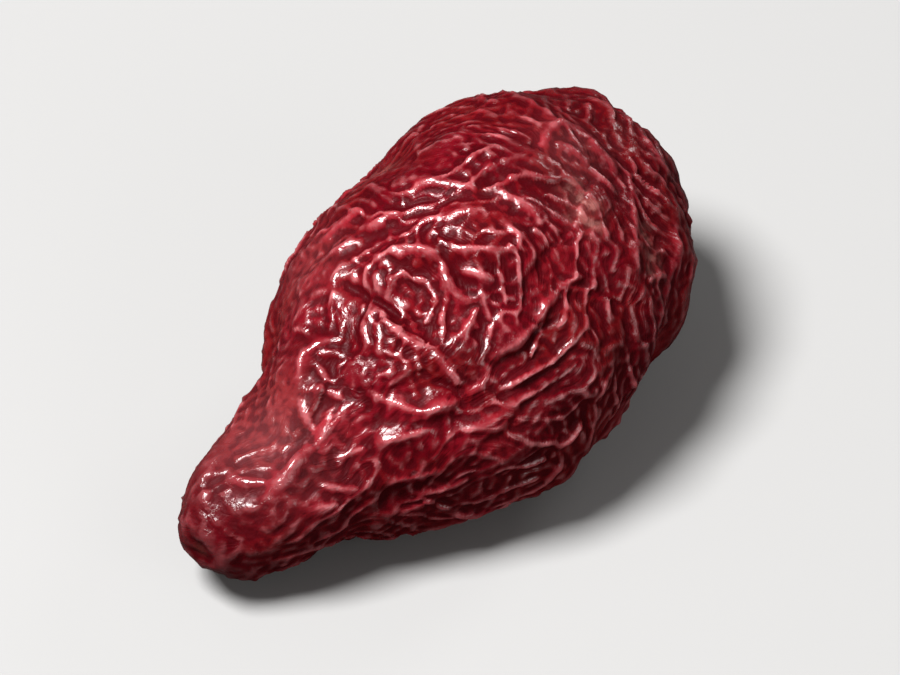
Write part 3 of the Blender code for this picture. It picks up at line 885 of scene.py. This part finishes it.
class Nodes:
    """Short ways to add and join the nodes of one material."""

    def __init__(self, material: bpy.types.Material) -> None:
        """Start on a material that holds its shader and its output.

        Args:
            material: The material whose nodes are added to.
        """
        material.use_nodes = True
        self.tree = material.node_tree
        self.shader = self.tree.nodes["Principled BSDF"]

    def add(self, kind: str, **settings: object) -> bpy.types.Node:
        """New node of a kind, with its settings made.

        Args:
            kind: Blender's name of the kind of node.
            settings: The node's settings by name.

        Returns:
            The node.
        """
        node = self.tree.nodes.new(kind)
        for name, value in settings.items():
            setattr(node, name, value)
        return node

    def join(self, start: Socket, end: Socket) -> None:
        """Link one socket to another."""
        self.tree.links.new(start, end)

    def put(self, socket: Socket, value: object) -> None:
        """Link a socket's source, or set its number, vector or colour.

        Args:
            socket: The socket that is fed.
            value: A socket to link, or what is set.
        """
        if isinstance(value, Socket):
            self.join(value, socket)
        elif socket.type == "RGBA":
            socket.default_value = (*value, 1.0)
        else:
            socket.default_value = value

    def shade(self, **values: object) -> None:
        """Put values in the shader's own sockets, named with underscores for spaces."""
        for name, value in values.items():
            self.put(self.shader.inputs[name.replace("_", " ")], value)

    def mask(self, name: str) -> Socket:
        """Value of a point attribute of the mesh."""
        return self.add("ShaderNodeAttribute", attribute_name=name).outputs["Fac"]

    def math(self, operation: str, a: object, b: object, clamp: bool = False) -> Socket:
        """Result of one sum on two values.

        Args:
            operation: Blender's name of the sum.
            a: First number or socket.
            b: Second number or socket.
            clamp: Whether the result is held between 0 and 1.

        Returns:
            The result.
        """
        node = self.add("ShaderNodeMath", operation=operation, use_clamp=clamp)
        self.put(node.inputs[0], a)
        self.put(node.inputs[1], b)
        return node.outputs[0]

    def times(self, a: object, b: object) -> Socket:
        """One value times another."""
        return self.math("MULTIPLY", a, b)

    def step(self, value: object, ramp: Ramp) -> Socket:
        """Value stretched from one range to another along a soft step, and held inside it.

        Args:
            value: Number or socket that is stretched.
            ramp: The step.

        Returns:
            The stretched value.
        """
        node = self.add("ShaderNodeMapRange", interpolation_type="SMOOTHSTEP")
        for index, number in enumerate((value, ramp.low, ramp.high, ramp.at_low, ramp.at_high)):
            self.put(node.inputs[index], number)
        return node.outputs[0]

    def place(self) -> Socket:
        """Place in the object's own space."""
        return self.add("ShaderNodeTexCoord").outputs["Object"]

    def noise_at(self, vector: Socket, scale: float, detail: float, seed: float) -> Socket:
        """Noise read at a vector.

        Args:
            vector: Where the noise is read.
            scale: Blotches to a unit of the vector.
            detail: Detail of the noise.
            seed: Number the noise starts from.

        Returns:
            The noise, about a half.
        """
        node = self.add("ShaderNodeTexNoise", noise_dimensions="4D")
        for name, value in (("Vector", vector), ("W", seed), ("Scale", scale), ("Detail", detail)):
            self.put(node.inputs[name], value)
        return node.outputs["Fac"]

    def noise(self, wave_mm: float, detail: float, seed: float) -> Socket:
        """Noise in the object's own space whose blotches are about this wide."""
        return self.noise_at(self.place(), 1.0 / (wave_mm * MM), detail, seed)

    def mottled(self, mottle: Mottle) -> Socket:
        """Noise through its own soft step."""
        return self.step(self.noise(mottle.wave_mm, mottle.detail, mottle.seed), mottle.ramp)

    def ripples(self, fineness: float, run_mm: float, detail: float, seed: float) -> Socket:
        """Noise drawn out along the ridges.

        The ridge wave's own cosine and sine stand for the way across, and are added to the place.

        Args:
            fineness: How many lines there are to a ridge.
            run_mm: How far a line runs, in millimetres.
            detail: Detail of the noise.
            seed: Number the noise starts from.

        Returns:
            The noise.
        """
        ripple = self.add("ShaderNodeAttribute", attribute_name="ripple")
        finer = self.add("ShaderNodeVectorMath", operation="SCALE")
        self.join(ripple.outputs["Vector"], finer.inputs[0])
        self.put(finer.inputs["Scale"], fineness)
        moved = self.add("ShaderNodeVectorMath", operation="MULTIPLY_ADD")
        for index, value in enumerate((self.place(), (1.0 / (run_mm * MM),) * 3, finer.outputs[0])):
            self.put(moved.inputs[index], value)
        return self.noise_at(moved.outputs[0], 1.0, detail, seed)

    def blend(self, share: object, first: object, second: object, way: str = "MIX") -> Socket:
        """Colour between two others.

        Args:
            share: Share of the second colour.
            first: First colour.
            second: Second colour.
            way: Blender's name of the way they are mixed.

        Returns:
            The mixed colour.
        """
        node = self.add("ShaderNodeMix", data_type="RGBA", blend_type=way)
        self.put(node.inputs["Factor"], share)
        self.put(node.inputs["A"], first)
        self.put(node.inputs["B"], second)
        return node.outputs["Result"]


SKIN_MASKS = ("crest", "hollow", "dip", "calm", "pale", "scar", "painted_light", "end_shade")


@dataclass(frozen=True)
class SkinFinish:
    """Dried skin: deep crimson, with painted shade in the furrows and at the ends, and painted light that
    makes the crests paler; glossier on the crests.
    """

    # Painted shade: this colour darkens the furrows, the wide hollows and both ends
    painted_shade: Colour = (0.060, 0.0010, 0.003)
    body: Colour = (0.108, 0.0016, 0.005)
    # Painted light: brighter red on the crests, for light falling on and glowing through the thin ridges
    crest: Colour = (0.24, 0.012, 0.020)
    # Painted highlight: pale pink on the crest tops
    painted_highlight: Colour = (0.60, 0.17, 0.185)
    warm: Colour = (0.150, 0.006, 0.006)
    rosy: Colour = (0.27, 0.034, 0.036)
    # Painted light: brighter red on the facet, where the light falls most
    lively: Colour = (0.21, 0.006, 0.014)
    bloom: Colour = (0.42, 0.15, 0.16)
    pale: Colour = (0.40, 0.16, 0.14)
    scar: Colour = (0.080, 0.024, 0.018)
    gloss_tint: Colour = (1.0, 0.62, 0.68)

    # Noises through their steps: warmer blotches, tones, painted highlights on the tops, dust, flecks and
    # sheen
    blotches: Mottle = Mottle(2.6, 3.0, 1.7, Ramp(0.40, 0.66, 0.0, 0.55))
    tones: Mottle = Mottle(0.9, 4.0, 5.1, Ramp(0.30, 0.70, 0.80, 1.22))
    highlight_blotches: Mottle = Mottle(0.55, 3.0, 4.4, Ramp(0.34, 0.66, 0.04, 0.58))
    dust: Mottle = Mottle(0.30, 3.0, 8.8, Ramp(0.56, 0.74, 0.0, 0.26))
    flecks: Mottle = Mottle(0.40, 4.0, 6.6, Ramp(0.42, 0.60, 0.10, 0.75))
    sheen: Mottle = Mottle(1.3, 3.0, 3.3, Ramp(0.30, 0.72, 0.22, 0.40))

    # Steps that the masks go through for colour, gloss and roughness
    # Painted shade in the furrows and the wide hollows
    furrow_shade: Ramp = Ramp(0.44, 0.70, 0.0, 0.90)
    dip_shade: Ramp = Ramp(0.50, 0.90, 0.0, 0.75)
    crests: Ramp = Ramp(0.25, 0.85, 0.0, 0.85)
    # Painted light: brighter red on the facet
    facet: Ramp = Ramp(0.70, 1.0, 0.0, 0.35)
    # Painted highlight on the crest tops
    highlight_tops: Ramp = Ramp(0.44, 0.02, 0.0, 1.0)
    dusty_crests: Ramp = Ramp(0.10, 0.70, 0.1, 1.0)
    scars: Ramp = Ramp(0.25, 0.85, 0.0, 0.9)
    # Fewer painted highlights at the ends
    unlit_ends: Ramp = Ramp(0.1, 0.8, 1.0, 0.4)
    gloss_tops: Ramp = Ramp(0.54, 0.22, 0.01, 1.0)
    gloss_dull: Ramp = Ramp(0.1, 0.8, 1.0, 0.2)
    gloss_ends: Ramp = Ramp(0.1, 0.9, 1.0, 0.45)
    rough_furrows: Ramp = Ramp(0.50, 0.80, 0.0, 0.22)

    # Shares of the masks, the shader's own values, and the finest pucker
    calm_rosy: float = 0.55
    calm_dust: float = 0.10
    calm_dull: float = 0.5
    dull_rough: float = 0.28
    # Shares of the painted shade at the ends and of the painted light on the tops
    end_shade_share: float = 0.70
    light_share: float = 1.3
    ior: float = 1.42
    specular_level: float = 0.08
    coat_ior: float = 1.72
    coat_roughness: float = 0.18
    glow: float = 0.18
    glow_reach: Colour = (1.0, 0.14, 0.10)
    glow_mm: float = 0.8
    pucker_mm: float = 0.10
    pucker_strength: float = 0.70
    grain_mm: float = 0.14
    grain_seed: float = 2.2
    grain_detail: float = 3.0
    grain_share: float = 0.30
    lines_per_ridge: float = 1.15
    line_mm: float = 0.9
    line_seed: float = 6.4

    def material(self) -> bpy.types.Material:
        """Build the material from the skin's masks and noises in object space.

        Returns:
            The material.
        """
        material = bpy.data.materials.new("dried_red_skin")
        nodes = Nodes(material)
        masks = {name: nodes.mask(name) for name in SKIN_MASKS}
        dull = nodes.math("MAXIMUM", masks["pale"], masks["scar"])
        dull = nodes.math("MAXIMUM", nodes.times(masks["calm"], self.calm_dull), dull)
        self.grain(nodes)
        nodes.shade(
            Base_Color=self.colour(nodes, masks),
            Roughness=self.roughness(nodes, masks, dull),
            Coat_Weight=self.gloss(nodes, masks, dull),
            IOR=self.ior,
            Specular_IOR_Level=self.specular_level,
            Specular_Tint=self.gloss_tint,
            Coat_IOR=self.coat_ior,
            Coat_Roughness=self.coat_roughness,
            Subsurface_Weight=self.glow,
            Subsurface_Radius=self.glow_reach,
            Subsurface_Scale=self.glow_mm * MM,
        )
        return material

    def colour(self, nodes: Nodes, masks: Masks) -> Socket:
        """Mix the colours by the masks, from the body through painted shade and painted light up to the
        painted highlights on the tops, the bloom and the scars.

        Args:
            nodes: Nodes of the material.
            masks: The skin's masks by name.

        Returns:
            The colour.
        """
        colour = nodes.blend(nodes.mottled(self.blotches), self.body, self.warm)
        layers = (
            # Painted light: brighter red on the facet
            (nodes.step(masks["painted_light"], self.facet), self.lively),
            (nodes.times(masks["calm"], self.calm_rosy), self.rosy),
            # Painted light: brighter red on the crests
            (nodes.step(masks["crest"], self.crests), self.crest),
            # Painted shade at both ends
            (nodes.times(masks["end_shade"], self.end_shade_share), self.painted_shade),
            # Painted shade in the furrows and the wide hollows
            (nodes.step(masks["hollow"], self.furrow_shade), self.painted_shade),
            (nodes.step(masks["dip"], self.dip_shade), self.painted_shade),
        )
        for share, paint in layers:
            colour = nodes.blend(share, colour, paint)
        mottle = nodes.mottled(self.tones)
        tone = nodes.add("ShaderNodeCombineColor")
        for index in range(3):
            nodes.join(mottle, tone.inputs[index])
        colour = nodes.blend(1.0, colour, tone.outputs[0], "MULTIPLY")
        # Painted highlight: pale pink on the crest tops
        colour = nodes.blend(self.highlight_share(nodes, masks), colour, self.painted_highlight)
        dusty = nodes.times(nodes.mottled(self.dust), nodes.step(masks["crest"], self.dusty_crests))
        dusty = nodes.math("ADD", dusty, nodes.times(masks["calm"], self.calm_dust), clamp=True)
        colour = nodes.blend(dusty, colour, self.bloom)
        colour = nodes.blend(nodes.times(masks["pale"], nodes.mottled(self.flecks)), colour, self.pale)
        return nodes.blend(nodes.step(masks["scar"], self.scars), colour, self.scar)

    def highlight_share(self, nodes: Nodes, masks: Masks) -> Socket:
        """Blotches of painted highlight on the tops, most on the facet and least at the ends.

        Args:
            nodes: Nodes of the material.
            masks: The skin's masks by name.

        Returns:
            The share of the painted highlights' colour.
        """
        highlit = nodes.times(nodes.mottled(self.highlight_blotches), nodes.times(masks["painted_light"], self.light_share))
        highlit = nodes.times(highlit, nodes.step(masks["end_shade"], self.unlit_ends))
        return nodes.times(highlit, nodes.step(masks["hollow"], self.highlight_tops))

    def gloss(self, nodes: Nodes, masks: Masks, dull: Socket) -> Socket:
        """Coat on the crests, less on dull skin and at the ends."""
        coat = nodes.times(nodes.step(masks["hollow"], self.gloss_tops), nodes.step(dull, self.gloss_dull))
        return nodes.times(coat, nodes.step(masks["end_shade"], self.gloss_ends))

    def roughness(self, nodes: Nodes, masks: Masks, dull: Socket) -> Socket:
        """Glossy on the crests, duller in the furrows, on the calm patches and round the scars."""
        base = nodes.math("ADD", nodes.mottled(self.sheen), nodes.step(masks["hollow"], self.rough_furrows))
        return nodes.math("ADD", base, nodes.times(dull, self.dull_rough), clamp=True)

    def grain(self, nodes: Nodes) -> None:
        """Raise the finest pucker of the skin, a tenth to a third of a millimetre across.

        Args:
            nodes: Nodes of the material.
        """
        fine = nodes.noise(self.grain_mm, self.grain_detail, self.grain_seed)
        lines = nodes.ripples(self.lines_per_ridge, self.line_mm, self.grain_detail, self.line_seed)
        fine = nodes.times(fine, self.grain_share)
        lines = nodes.times(lines, 1.0 - self.grain_share)
        bump = nodes.add("ShaderNodeBump")
        nodes.put(bump.inputs["Strength"], self.pucker_strength)
        nodes.put(bump.inputs["Distance"], self.pucker_mm * MM)
        nodes.put(bump.inputs["Height"], nodes.math("ADD", fine, lines))
        nodes.shade(Normal=bump.outputs["Normal"], Coat_Normal=bump.outputs["Normal"])


@dataclass(frozen=True)
class Softbox:
    """Round lamp: its size in metres, its power in watts, and its place in metres."""

    size: float
    power: float
    place: tuple[float, float, float]


class LampRole(Enum):
    """What each softbox does."""

    KEY = Softbox(0.15, 3.05, (-0.15, 0.05, 0.35))
    FILL = Softbox(0.30, 0.32, (0.30, 0.26, 0.16))
    RIM = Softbox(0.11, 0.20, (0.24, -0.26, 0.17))


@dataclass
class Studio:
    """Pale floor, softboxes and the camera at the photograph's angle."""

    azimuth: float = -54.0
    elevation: float = 46.0
    distance: float = 0.26
    lens: float = 325.0
    clip_start: float = 0.01
    aim: tuple[float, float, float] = (0.0, 0.0, 0.0046)
    floor_half: float = 3.0
    floor_roughness: float = 0.9
    floor_colour: Colour = (0.395, 0.391, 0.387)
    floor_bounce: Colour = (0.16, 0.13, 0.13)
    floor_mirrored: Colour = (0.03, 0.02, 0.02)
    surround_colour: Colour = (1.0, 0.99, 0.98)
    surround_light: float = 0.14
    surround_mirrored: float = 0.03

    def axes(self) -> tuple[Array, Array]:
        """The camera's own directions.

        Returns:
            Unit directions to the camera's right, and from the aim back to the camera.
        """
        a, e = np.radians(self.azimuth), np.radians(self.elevation)
        right = np.array([np.cos(a), np.sin(a), 0.0])
        back = np.array([np.sin(a) * np.cos(e), -np.cos(a) * np.cos(e), np.sin(e)])
        return right, back

    def point(self, thing: bpy.types.Object, place: Array) -> None:
        """Put a lamp or camera at a place, turned to the aim.

        Args:
            thing: The lamp or camera.
            place: Its place in metres.
        """
        bpy.context.scene.collection.objects.link(thing)
        thing.location = place
        thing.rotation_euler = (Vector(place) - Vector(self.aim)).to_track_quat("Z", "Y").to_euler()

    def add_camera(self) -> None:
        """Long lens at the photograph's own angle on the fruit."""
        camera = bpy.data.objects.new("camera", bpy.data.cameras.new("camera"))
        camera.data.lens = self.lens
        camera.data.clip_start = self.clip_start
        self.point(camera, np.array(self.aim) + self.axes()[1] * self.distance)
        bpy.context.scene.camera = camera

    def add_softboxes(self) -> None:
        """Softboxes placed to the right of, toward and above the camera's ground line."""
        right, back = self.axes()
        near = np.array([back[0], back[1], 0.0])
        near = near / np.linalg.norm(near)
        for role in LampRole:
            softbox, name = role.value, role.name.lower()
            lamp = bpy.data.lights.new(name, "AREA")
            lamp.shape = "DISK"
            lamp.size = softbox.size
            lamp.energy = softbox.power
            x, y, z = softbox.place
            self.point(bpy.data.objects.new(name, lamp), right * x + near * y + np.array([0.0, 0.0, z]))

    def add_floor(self) -> None:
        """Wide matte floor at the fruit's resting height: pale as the camera sees it, a dark reddish
        painted shade in the light it bounces onto the skin, and darker still where the skin mirrors it.
        """
        mesh = bpy.data.meshes.new("floor")
        half = self.floor_half
        corners = [(-half, -half, 0.0), (half, -half, 0.0), (half, half, 0.0), (-half, half, 0.0)]
        mesh.from_pydata(corners, [], [(0, 1, 2, 3)])
        floor = bpy.data.objects.new("floor", mesh)
        bpy.context.scene.collection.objects.link(floor)
        material = bpy.data.materials.new("pale_floor")
        nodes = Nodes(material)
        ray = nodes.add("ShaderNodeLightPath").outputs
        dimmed = nodes.blend(ray["Is Glossy Ray"], self.floor_bounce, self.floor_mirrored)
        seen = nodes.blend(ray["Is Camera Ray"], dimmed, self.floor_colour)
        nodes.shade(Base_Color=seen, Roughness=self.floor_roughness)
        mesh.materials.append(material)

    def add_surround(self) -> None:
        """Even pale light from all round, dimmer where the skin mirrors it."""
        world = bpy.data.worlds.new("surround")
        world.use_nodes = True
        tree = world.node_tree
        ground = tree.nodes["Background"]
        ground.inputs["Color"].default_value = (*self.surround_colour, 1.0)
        dimmer = tree.nodes.new("ShaderNodeMapRange")
        dimmer.inputs["To Min"].default_value = self.surround_light
        dimmer.inputs["To Max"].default_value = self.surround_mirrored
        ray = tree.nodes.new("ShaderNodeLightPath").outputs["Is Glossy Ray"]
        tree.links.new(ray, dimmer.inputs["Value"])
        tree.links.new(dimmer.outputs["Result"], ground.inputs["Strength"])
        bpy.context.scene.world = world
        bpy.context.scene.view_settings.view_transform = "Standard"

    def build(self) -> None:
        """Set up each piece of the studio and report it."""
        pieces = {
            "floor": self.add_floor,
            "surround": self.add_surround,
            "softboxes": self.add_softboxes,
            "camera": self.add_camera,
        }
        for name, add in pieces.items():
            add()
            LOG.info("studio: %s", name)


def main() -> None:
    """Build the skin and the studio in order and report each piece."""
    logging.basicConfig(level=logging.INFO, format="%(name)s: %(message)s")
    skin = WrinkledSkin().build()
    skin.data.materials.append(SkinFinish().material())
    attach(skin, "root")
    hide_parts(NODE)
    LOG.info("%s: %d faces", skin.name, len(skin.data.polygons))
    Studio().build()


if __name__ == "__main__":
    main()
